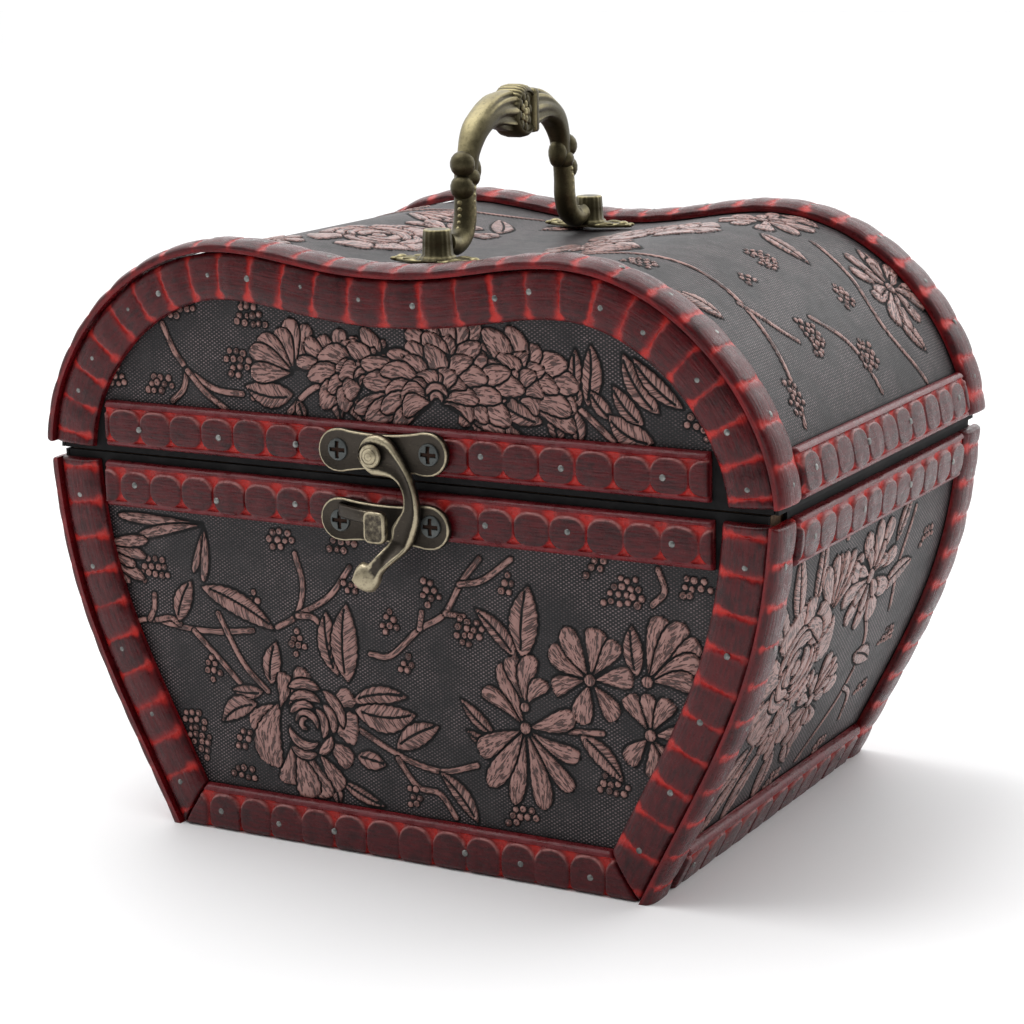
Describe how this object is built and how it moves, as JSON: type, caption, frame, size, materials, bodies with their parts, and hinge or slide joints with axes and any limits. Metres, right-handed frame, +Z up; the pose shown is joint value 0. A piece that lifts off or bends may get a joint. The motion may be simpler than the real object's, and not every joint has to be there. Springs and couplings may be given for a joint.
{
  "type": "wind up music box",
  "caption": "Chest-shaped wind up music box with a double-humped hinged lid, embossed covering, carved edge strips, swing latch, top handle and key-wound movement.",
  "frame": {"origin": "centre of the underside of the bottom board, on the surface that the box stands on", "axes": "+X to the right seen from the latch side, +Y from the latch side to the hinge side, +Z up"},
  "size_m": [0.174, 0.1393, 0.1558],
  "materials": {
    "board": "matte",
    "embossed_leatherette": "satin, copper-pink raised pattern",
    "carved_red_wood": "satin lacquer with dark burnished faces",
    "antique_brass": "aged, bright on the edges",
    "bright_brass": "satin",
    "steel": "brushed",
    "cast_metal": "cast",
    "velvet": "napped"
  },
  "bodies": {
    "chest": {"bottom_panel": "board", "front_panel": "board", "back_panel": "board", "left_panel": "board", "right_panel": "board", "front_covering": "embossed_leatherette", "back_covering": "embossed_leatherette", "left_covering": "embossed_leatherette", "right_covering": "embossed_leatherette", "front_left_strip": "carved_red_wood", "front_right_strip": "carved_red_wood", "front_base_strip": "carved_red_wood", "front_seam_strip": "carved_red_wood", "back_left_strip": "carved_red_wood", "back_right_strip": "carved_red_wood", "back_base_strip": "carved_red_wood", "back_seam_strip": "carved_red_wood", "left_front_strip": "carved_red_wood", "left_back_strip": "carved_red_wood", "left_base_strip": "carved_red_wood", "left_seam_strip": "carved_red_wood", "right_front_strip": "carved_red_wood", "right_back_strip": "carved_red_wood", "right_base_strip": "carved_red_wood", "right_seam_strip": "carved_red_wood", "compartment_wall": "velvet", "movement_cover": "velvet", "latch_keeper": "antique_brass", "hinge_left_body_leaf": "antique_brass", "hinge_right_body_leaf": "antique_brass", "movement_frame": "cast_metal", "comb": "steel"},
    "lid": {"lid_front_panel": "board", "lid_back_panel": "board", "lid_top_panel": "board", "lid_front_covering": "embossed_leatherette", "lid_back_covering": "embossed_leatherette", "lid_top_covering": "embossed_leatherette", "lid_front_arch_strip": "carved_red_wood", "lid_front_seam_strip": "carved_red_wood", "lid_back_arch_strip": "carved_red_wood", "lid_back_seam_strip": "carved_red_wood", "lid_top_front_strip": "carved_red_wood", "lid_top_back_strip": "carved_red_wood", "lid_left_seam_strip": "carved_red_wood", "lid_right_seam_strip": "carved_red_wood", "latch_plate": "antique_brass", "latch_rivet": "antique_brass", "handle_front_mount": "antique_brass", "handle_back_mount": "antique_brass", "hinge_left_lid_leaf": "antique_brass", "hinge_right_lid_leaf": "antique_brass"},
    "latch_hook": {"latch_hook": "antique_brass"},
    "handle": {"handle_bail": "antique_brass"},
    "key": {"winding_key": "bright_brass", "winding_arbor": "steel"},
    "barrel": {"spring_barrel": "bright_brass"},
    "cylinder": {"music_cylinder": "bright_brass"},
    "governor": {"governor_gear": "bright_brass"},
    "fan": {"governor_fan": "steel"}
  },
  "joints": [
    {"name": "lid_hinge", "type": "hinge", "parent": "chest", "child": "lid", "pos_m": [0, 0.0582, 0.0805], "axis": [-1, 0, 0], "range_deg": [0, 100]},
    {"name": "latch_swing", "type": "hinge", "parent": "lid", "child": "latch_hook", "pos_m": [-0.0012, -0.058, 0.0864], "axis": [0, -1, 0], "range_deg": [-8, 100]},
    {"name": "handle_swing", "type": "hinge", "parent": "lid", "child": "handle", "pos_m": [0, 0, 0.1253], "axis": [0, 1, 0], "range_deg": [-80, 80]},
    {"name": "key_turn", "type": "hinge", "parent": "chest", "child": "key", "pos_m": [-0.024, 0.06, 0.0251], "axis": [0, 1, 0], "continuous": true},
    {"name": "cylinder_spin", "type": "hinge", "parent": "chest", "child": "cylinder", "pos_m": [-0.0024, 0.02, 0.0251], "axis": [0, 1, 0], "continuous": true},
    {"name": "barrel_spin", "type": "hinge", "parent": "chest", "child": "barrel", "pos_m": [-0.024, 0.02, 0.0251], "axis": [0, 1, 0], "continuous": true},
    {"name": "governor_spin", "type": "hinge", "parent": "chest", "child": "governor", "pos_m": [0.00799, 0.005, 0.0191], "axis": [0, 1, 0], "continuous": true},
    {"name": "fan_spin", "type": "hinge", "parent": "chest", "child": "fan", "pos_m": [0.01799, 0.005, 0.0191], "axis": [0, 1, 0], "continuous": true}
  ],
  "couplings": [
    {"joint": "barrel_spin", "follows": "cylinder_spin", "ratio": -0.33333},
    {"joint": "governor_spin", "follows": "cylinder_spin", "ratio": -4},
    {"joint": "fan_spin", "follows": "cylinder_spin", "ratio": 16}
  ]
}
